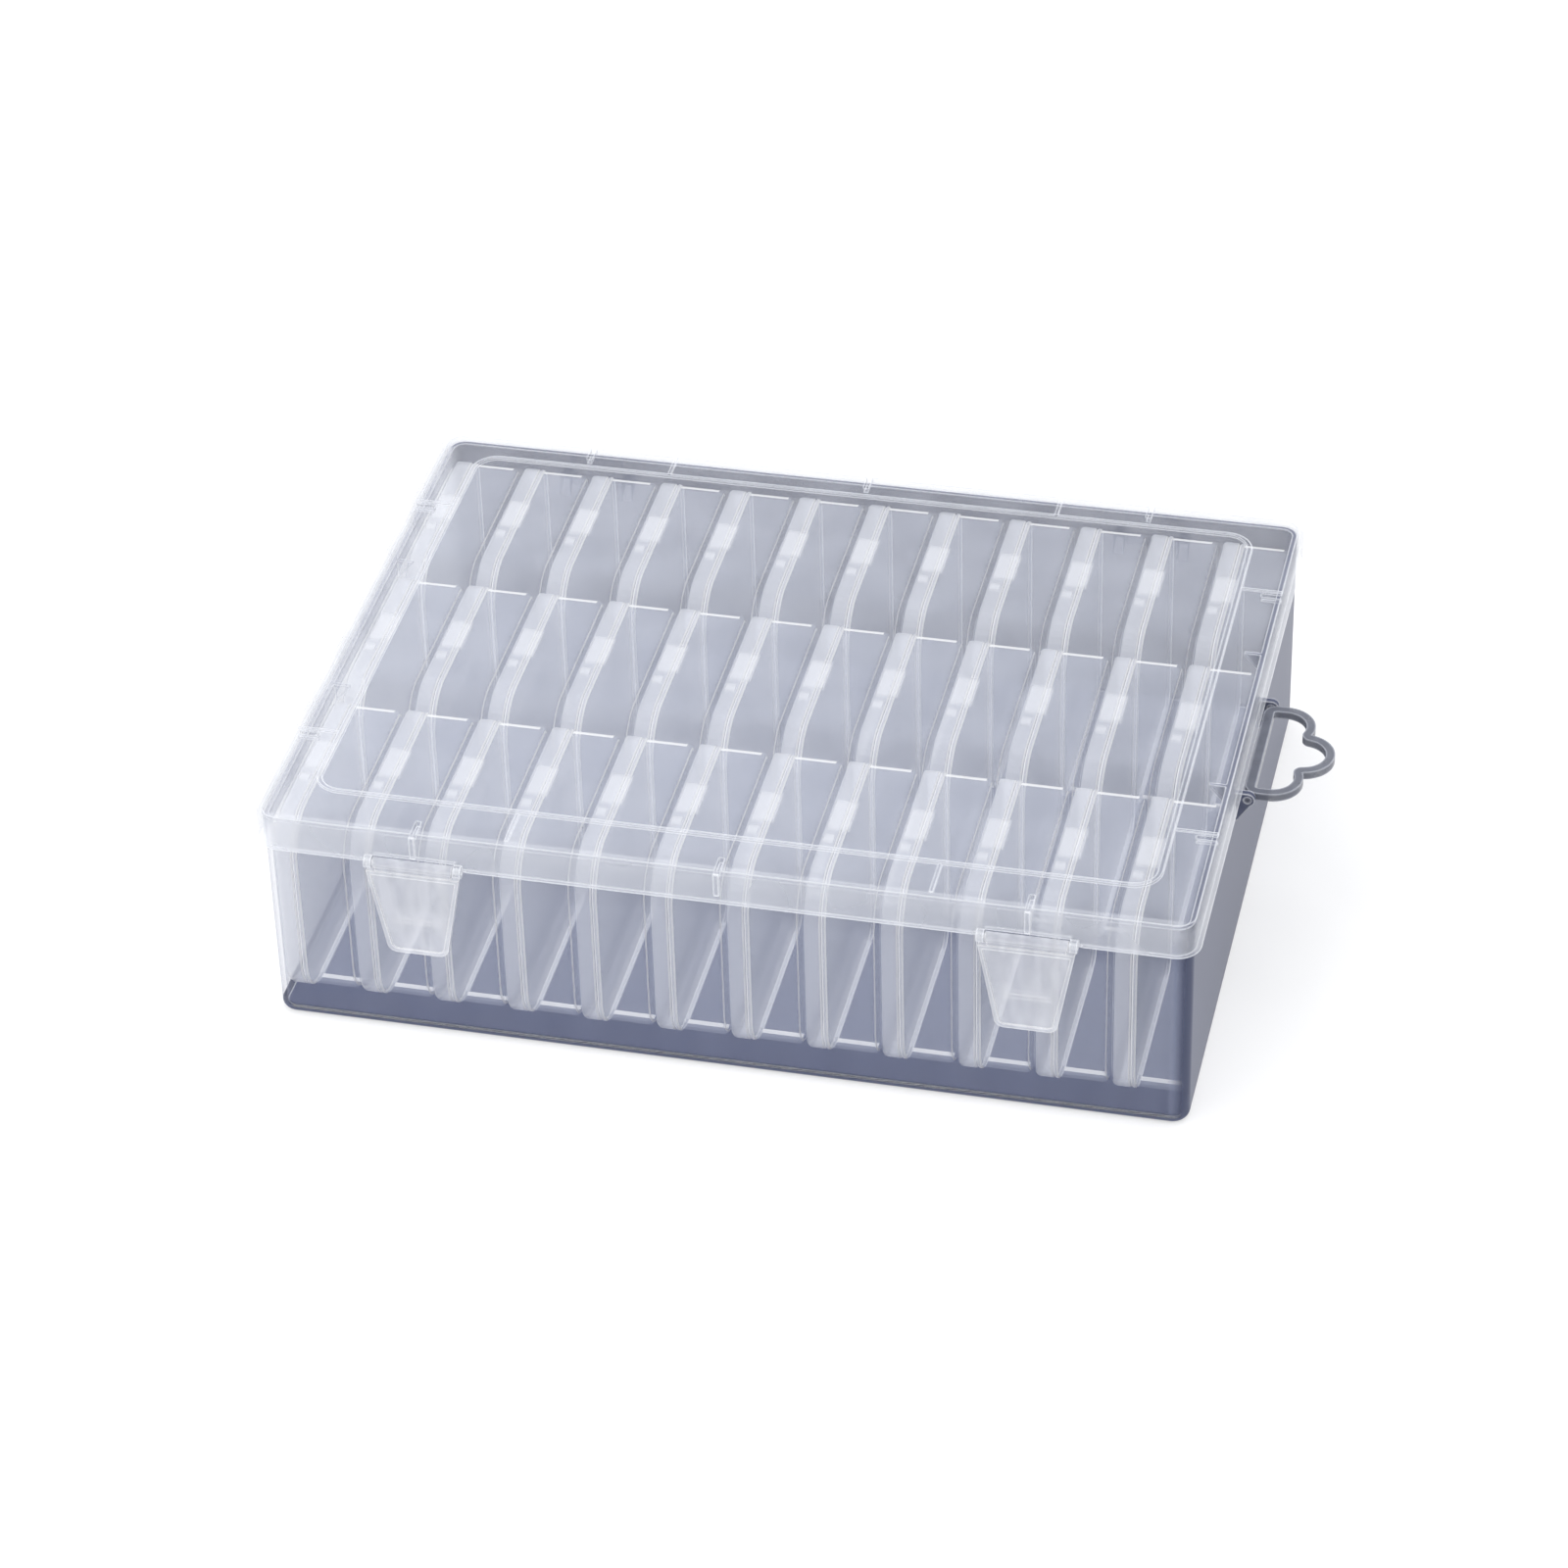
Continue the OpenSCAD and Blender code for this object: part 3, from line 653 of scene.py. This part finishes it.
@dataclass
class MiniCase:
    """One clamshell mini case, standing on its hinge with the cover to the left.

    All sizes are in mm. X runs from the cover's broad face to the tray's, Y from front to back.

    Attributes:
        depth: Length of the case from front to back.
        height: Height of its walls.
        bead_h: How far the hinge bead lifts the walls off the floor.
        bead_w: Width of the hinge bead.
        bead_end: How far the bead ends before the round corners.
        cover_t: Thickness of the cover half.
        tray_t: Thickness of the tray half.
        gap: Parting between the halves.
        wall: Thickness of the walls.
        front_r: Radius of the two front corners.
        back_r: Radius of the two rear corners.
        front_steps: Facets of a front corner.
        back_steps: Facets of a rear corner.
        rim_rise: How far the tray's rim stands proud of its walls.
        rim_w: Width of the rim.
        tray_round: Radius of the edge between the tray's narrow and broad faces.
        cover_round: The same for the cover.
        outer_steps: Facets of those edges.
        inner_round: Radius of the edge inside a half.
        inner_steps: Facets of that edge.
        lip: Width of the painted highlight along the parting and the rim.
        snap_l: Length of the snap tongue.
        snap_t: How far the tongue and the finger block rise above the walls.
        snap_offset: How far behind the middle the tongue sits.
        snap_gap: Gap between the tongue's hook and the rim.
        block_l: Length of the finger block, and of the space before the tongue.
        block_round: Radius of the edges of bead, tongue and block.
        finishes: The materials in the order of Zone.
    """

    depth: float = 63.6
    height: float = 62.7
    bead_h: float = 0.5
    bead_w: float = 3.0
    bead_end: float = 0.5
    cover_t: float = 5.2
    tray_t: float = 14.8
    gap: float = 0.2
    wall: float = 0.9
    front_r: float = 13.0
    back_r: float = 4.0
    front_steps: int = 10
    back_steps: int = 6
    rim_rise: float = 0.5
    rim_w: float = 1.4
    tray_round: float = 1.5
    cover_round: float = 1.2
    outer_steps: int = 3
    inner_round: float = 0.63
    inner_steps: int = 2
    lip: float = 0.4
    snap_l: float = 13.0
    snap_t: float = 0.8
    snap_offset: float = 3.0
    snap_gap: float = 0.1
    block_l: float = 3.0
    block_round: float = 0.2
    finishes: list[bpy.types.Material] = field(default_factory=list)

    @property
    def parting(self) -> float:
        """Where the tray starts."""
        return self.cover_t + self.gap

    @property
    def thickness(self) -> float:
        """The whole case, cover and tray."""
        return self.parting + self.tray_t

    @property
    def top(self) -> float:
        """Height of the case's walls above the floor it stands on."""
        return self.bead_h + self.height

    def _slab(self, form: bmesh.types.BMesh, x: float, reach: float) -> None:
        """Makes a slab of the side outline, with large front corners and small back ones.

        Args:
            form: The bmesh to draw in.
            x: Where the slab starts.
            reach: How far it reaches along X, with its sign.
        """
        corners = [
            form.verts.new((x, y, z))
            for y in (0.0, self.depth)
            for z in (self.bead_h, self.top)
        ]
        face = form.faces.new([corners[i] for i in (0, 2, 3, 1)])
        self._pull(form, face, reach)
        for y, radius, steps in (
            (0.0, self.front_r, self.front_steps),
            (self.depth, self.back_r, self.back_steps),
        ):
            along = [
                e
                for e in form.edges
                if abs(e.verts[0].co.x - e.verts[1].co.x) > abs(reach) / 2
                and abs(e.verts[0].co.y - y) < NEAR
            ]
            bmesh.ops.bevel(
                form,
                geom=along,
                affect="EDGES",
                offset=radius,
                segments=steps,
                profile=0.5,
                material=-1,
            )

    @staticmethod
    def _cap(form: bmesh.types.BMesh, x: float) -> bmesh.types.BMFace:
        """Finds the largest face that stands across X at one place.

        Args:
            form: The bmesh.
            x: Where the face stands.

        Returns:
            The face.
        """
        return max(
            (f for f in form.faces if all(abs(v.co.x - x) < NEAR for v in f.verts)),
            key=lambda f: f.calc_area(),
        )

    @staticmethod
    def _pull(
        form: bmesh.types.BMesh, face: bmesh.types.BMFace, by: float
    ) -> bmesh.types.BMFace:
        """Extrudes a face along X.

        Args:
            form: The bmesh.
            face: The face to pull.
            by: How far.

        Returns:
            The face at the new end.
        """
        made = bmesh.ops.extrude_face_region(form, geom=[face])["geom"]
        verts = [v for v in made if isinstance(v, bmesh.types.BMVert)]
        bmesh.ops.translate(form, verts=verts, vec=(by, 0.0, 0.0))
        return next(f for f in made if isinstance(f, bmesh.types.BMFace))

    @staticmethod
    def _round(
        form: bmesh.types.BMesh, face: bmesh.types.BMFace, by: float, steps: int
    ) -> list[bmesh.types.BMFace]:
        """Rounds the edges of a face.

        Args:
            form: The bmesh.
            face: The face whose edges are rounded.
            by: The radius.
            steps: How many facets the round has.

        Returns:
            The facets of the round.
        """
        made = bmesh.ops.bevel(
            form,
            geom=list(face.edges),
            affect="EDGES",
            offset=by,
            segments=steps,
            profile=0.5,
            material=-1,
        )
        return made["faces"]

    def _half(self, x: float, reach: float, rim: bool) -> bmesh.types.BMesh:
        """Makes a cover or a tray: a thin shell, open at the parting line.

        Args:
            x: Where its open side stands.
            reach: How far it reaches from there along X, with its sign.
            rim: Whether it has a proud rim.

        Returns:
            The shell as a closed bmesh.
        """
        form = bmesh.new()
        way = math.copysign(1.0, reach)
        inset = self.wall
        if rim:
            self._slab(form, x, way * self.rim_w)
            ledge = self._cap(form, x + way * self.rim_w)
            bmesh.ops.inset_region(form, faces=[ledge], thickness=self.rim_rise, depth=0.0)
            far = self._pull(form, ledge, reach - way * self.rim_w)
            inset += self.rim_rise
        else:
            self._slab(form, x, reach)
            far = self._cap(form, x + reach)
        rounding = self.tray_round if rim else self.cover_round
        self._glint(form, self._round(form, far, rounding, self.outer_steps), x + reach)
        self._lip(form, x)
        if rim:
            self._lip(form, x + way * self.rim_w)
        mouth = self._cap(form, x)
        bmesh.ops.inset_region(form, faces=[mouth], thickness=inset - self.lip, depth=0.0)
        floor = self._pull(form, mouth, reach - way * self.wall)
        self._round(form, floor, self.inner_round, self.inner_steps)
        return form

    @staticmethod
    def _glint(
        form: bmesh.types.BMesh, facets: list[bmesh.types.BMFace], far_x: float
    ) -> None:
        """Gives the facets of a round that touch the broad face a painted highlight.

        Args:
            form: Not used.
            facets: The facets of the round.
            far_x: Where the broad face beside the round stands.
        """
        for facet in facets:
            touching = any(abs(v.co.x - far_x) < NEAR for v in facet.verts)
            facet.smooth = True
            # Painted highlight on the facets beside the broad face
            if touching and len(facet.verts) == 4:
                facet.material_index = Zone.EDGE.value

    def _lip(self, form: bmesh.types.BMesh, x: float) -> None:
        """Breaks the outer edge of the parting line or of the rim and gives it a painted
        highlight.

        Args:
            form: The bmesh.
            x: Where that edge stands.
        """
        ring = [
            e
            for e in form.edges
            if all(abs(v.co.x - x) < NEAR for v in e.verts)
            and len(e.link_faces) == 2
            and any(abs(f.normal.x) < 0.1 for f in e.link_faces)
            and not self._inside((e.verts[0].co + e.verts[1].co) / 2, self.wall / 3)
        ]
        made = bmesh.ops.bevel(
            form,
            geom=ring,
            affect="EDGES",
            offset=self.lip,
            segments=1,
            profile=0.5,
            material=-1,
        )
        # Painted highlight on the broken edge
        for facet in made["faces"]:
            facet.material_index = Zone.EDGE.value

    def _paint(self, form: bmesh.types.BMesh, x: float, tray: bool) -> None:
        """Gives the faces of a half their zones.

        Args:
            form: The half.
            x: Where its open side stands.
            tray: Whether it is the tray.
        """
        for face in form.faces:
            if face.material_index == Zone.EDGE.value:
                continue
            centre = face.calc_center_median()
            from_mouth = abs(centre.x - x)
            outer = not self._inside(centre, self.wall * 0.6)
            if from_mouth < NEAR:
                face.material_index = Zone.STRIP.value
            elif tray and from_mouth <= self.rim_w + NEAR and outer:
                face.material_index = Zone.STRIP.value
            elif not tray and outer and abs(face.normal.x) < 0.3:
                face.material_index = Zone.STRIP.value
            # Painted highlight on the rear top and front bottom rounds of the tray
            elif outer and self._glinting(face):
                face.material_index = Zone.EDGE.value

    @staticmethod
    def _glinting(face: bmesh.types.BMFace) -> bool:
        """Tells whether a facet of a round corner gets a painted highlight, a line of light to
        the front.

        Args:
            face: A face of the tray's skin.

        Returns:
            True for the top of the rear top corner and the bottom of the front bottom corner.
        """
        across, back, up = face.normal
        tilt = math.degrees(math.atan2(up, back))
        rear_top = 60 < tilt < 89
        front_bottom = -99 < tilt < -91
        return abs(across) < 0.1 and (rear_top or front_bottom)

    def _inside(self, point: Vector, depth: float) -> bool:
        """Tells whether a point lies deeper than depth under the outline's skin."""
        return (
            depth < point.y < self.depth - depth
            and self.bead_h + depth < point.z < self.top - depth
            and not self._in_corner(point, depth)
        )

    def _in_corner(self, point: Vector, depth: float) -> bool:
        """Tells whether a point is within depth of the skin of a round corner."""
        for y, radius in ((0.0, self.front_r), (self.depth, self.back_r)):
            side = 1.0 if y == 0.0 else -1.0
            for z, rise in ((self.bead_h, 1.0), (self.top, -1.0)):
                along = (point.y - y) * side
                up = (point.z - z) * rise
                if along < radius and up < radius:
                    out = math.hypot(radius - along, radius - up)
                    if out > radius - depth:
                        return True
        return False

    @staticmethod
    def _block(
        form: bmesh.types.BMesh,
        low: tuple[float, float, float],
        high: tuple[float, float, float],
        rounding: float,
        zone: Zone,
    ) -> None:
        """Adds a block with rounded edges.

        Args:
            form: The bmesh to add to.
            low: Its lowest corner.
            high: Its highest corner.
            rounding: Radius of its edges.
            zone: Its finish.
        """
        size = Vector(high) - Vector(low)
        middle = (Vector(high) + Vector(low)) / 2
        made = bmesh.ops.create_cube(
            form, size=1.0, matrix=Matrix.Translation(middle) @ Matrix.Diagonal((*size, 1.0))
        )
        # A dict keeps the edges in order, which a set would not
        edges = list(dict.fromkeys(e for v in made["verts"] for e in v.link_edges))
        rounded = bmesh.ops.bevel(
            form,
            geom=edges,
            affect="EDGES",
            offset=rounding,
            segments=2,
            profile=0.5,
            material=-1,
        )
        for vert in rounded["verts"]:
            for face in vert.link_faces:
                face.material_index = zone.value

    def _trim(self) -> bmesh.types.BMesh:
        """Makes the hinge bead, the snap tongue with its hook, and the finger block.

        Returns:
            These pieces in one bmesh.
        """
        form = bmesh.new()
        root = self.wall / 3
        hinge_x = self.parting - self.gap / 2
        self._block(
            form,
            (hinge_x - self.bead_w / 2, self.front_r + self.bead_end, 0.0),
            (
                hinge_x + self.bead_w / 2,
                self.depth - self.back_r - self.bead_end,
                self.bead_h + root,
            ),
            self.block_round,
            Zone.STRIP,
        )
        start = self.depth / 2 + self.snap_offset - self.snap_l / 2
        hook_x = self.parting + self.rim_w + self.snap_gap
        self._block(
            form,
            (self.cover_round, start, self.top - root),
            (hook_x + self.wall, start + self.snap_l, self.top + self.snap_t),
            self.block_round,
            Zone.TONGUE,
        )
        self._block(
            form,
            (self.cover_round, start - 2 * self.block_l, self.top - root),
            (
                self.cover_t - self.wall,
                start - self.block_l,
                self.top + self.snap_t,
            ),
            self.block_round,
            Zone.TONGUE,
        )
        return form

    def mesh(self) -> bpy.types.Mesh:
        """Makes the whole case at the origin.

        Returns:
            The mesh in metres, with the finishes in the order of Zone.
        """
        whole = bmesh.new()
        cover = self._half(self.cover_t, -self.cover_t, rim=False)
        tray = self._half(self.parting, self.tray_t, rim=True)
        for half, x, is_tray in ((cover, self.cover_t, False), (tray, self.parting, True)):
            bmesh.ops.recalc_face_normals(half, faces=half.faces)
            self._paint(half, x, is_tray)
        for form in (cover, tray, self._trim()):
            part = bpy.data.meshes.new("mini_case_part")
            form.to_mesh(part)
            form.free()
            whole.from_mesh(part)
            bpy.data.meshes.remove(part)
        bmesh.ops.scale(whole, verts=whole.verts, vec=(MM, MM, MM))
        bmesh.ops.triangulate(whole, faces=[f for f in whole.faces if len(f.verts) > 4])
        mesh = bpy.data.meshes.new("mini_case")
        whole.to_mesh(mesh)
        whole.free()
        for finish in self.finishes:
            mesh.materials.append(finish)
        return mesh


@dataclass
class CaseRows:
    """The three rows of twelve mini cases in the tub.

    Attributes:
        case: The mini case that is repeated.
        columns: How many stand in a row.
    """

    case: MiniCase
    columns: int = 12

    def build(self) -> None:
        """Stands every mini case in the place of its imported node."""
        pattern = self.case.mesh()
        for row in Row:
            for column in range(1, self.columns + 1):
                node = f"case_{row.name.lower()}_{column:02d}"
                low, _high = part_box(node)
                mesh = pattern.copy()
                mesh.transform(Matrix.Translation(low))
                piece = bpy.data.objects.new(f"mini_{node}", mesh)
                bpy.context.scene.collection.objects.link(piece)
                # Thin clear walls throw no shadow worth tracing on each other
                piece.visible_shadow = False
                piece.visible_diffuse = False
                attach(piece, "base")
                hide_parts(node)
                LOG.info("stood %s", piece.name)
        bpy.data.meshes.remove(pattern)


def main() -> None:
    """Builds the studio, the shells and the mini cases in order."""
    logging.basicConfig(level=logging.INFO, format="%(name)s: %(message)s")
    scene = bpy.context.scene
    # A line of sight along the box crosses the faces of up to twelve cases
    scene.cycles.transparent_max_bounces = 96
    scene.cycles.max_bounces = 2
    scene.cycles.diffuse_bounces = 1
    scene.cycles.glossy_bounces = 1
    scene.view_settings.view_transform = "Standard"
    Studio().build()
    shells = (
        ("base_tub", TUB_SHELL),
        ("lid", LID_SHELL),
        ("latch_left", LATCH_SKIN),
        ("latch_right", LATCH_SKIN),
        ("hang_handle", HANDLE_SKIN),
    )
    finishes: dict[str, bpy.types.Material] = {}
    for node, recipe in shells:
        if recipe.name not in finishes:
            finishes[recipe.name] = recipe.build()
        Shell(node, finishes[recipe.name]).dress()
    zones = [r.build() for r in (CASE_WALL, CASE_STRIP, CASE_EDGE_HIGHLIGHT, CASE_TONGUE)]
    CaseRows(MiniCase(finishes=zones)).build()


if __name__ == "__main__":
    main()
